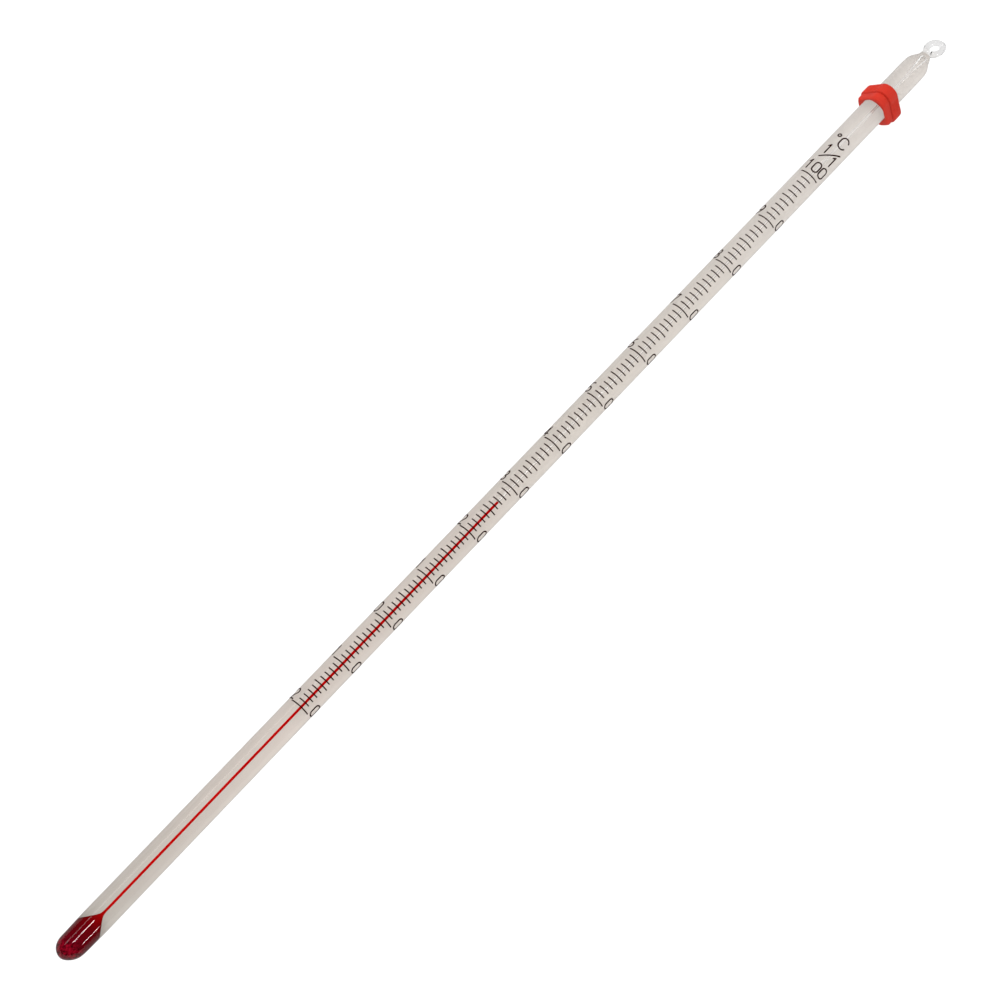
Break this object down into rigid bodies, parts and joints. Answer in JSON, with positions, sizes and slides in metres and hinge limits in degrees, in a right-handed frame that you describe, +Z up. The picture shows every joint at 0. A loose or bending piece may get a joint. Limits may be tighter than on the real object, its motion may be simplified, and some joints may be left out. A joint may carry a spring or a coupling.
{
  "type": "glass thermometer",
  "caption": "Red spirit stick thermometer, minus 20 to 100 degrees Celsius, with an opal-backed glass stem, a same-width bulb, a rubber anti-roll collar and a hanging eye.",
  "frame": {"origin": "bottom centre of the whole thermometer's box, on the surface that the collar's flat stands on", "axes": "+X along the stem from the bulb to the hanging eye, +Z up out of the scale's middle"},
  "size_m": [0.3, 0.0104, 0.0098],
  "materials": {
    "clear_glass": "clear, fire polished",
    "opal_glass": "milky white enamel glass",
    "red_spirit": "dyed red alcohol",
    "red_silicone": "matte moulded silicone",
    "scale_ink": "fired dark brown ink"
  },
  "bodies": {
    "stem": {"stem_glass": "clear_glass", "bulb_glass": "clear_glass", "crown_glass": "clear_glass", "hanging_eye": "clear_glass", "opal_backing": "opal_glass", "bulb_spirit": "red_spirit", "spirit_thread": "red_spirit", "degree_ticks": "scale_ink", "five_degree_ticks": "scale_ink", "ten_degree_ticks": "scale_ink", "numeral_minus_20": "scale_ink", "numeral_minus_10": "scale_ink", "numeral_0": "scale_ink", "numeral_10": "scale_ink", "numeral_20": "scale_ink", "numeral_30": "scale_ink", "numeral_40": "scale_ink", "numeral_50": "scale_ink", "numeral_60": "scale_ink", "numeral_70": "scale_ink", "numeral_80": "scale_ink", "numeral_90": "scale_ink", "numeral_100": "scale_ink", "unit_mark": "scale_ink", "division_mark": "scale_ink"},
    "meniscus": {"thread_meniscus": "red_spirit"},
    "collar": {"anti_roll_collar": "red_silicone"}
  },
  "joints": [
    {"name": "reading", "type": "slide", "parent": "stem", "child": "meniscus", "axis": [1, 0, 0], "range_m": [-0.06486, 0.11073], "deforming": ["spirit_thread"]},
    {"name": "collar_slide", "type": "slide", "parent": "stem", "child": "collar", "axis": [1, 0, 0], "range_m": [-0.27, 0.0285]}
  ]
}
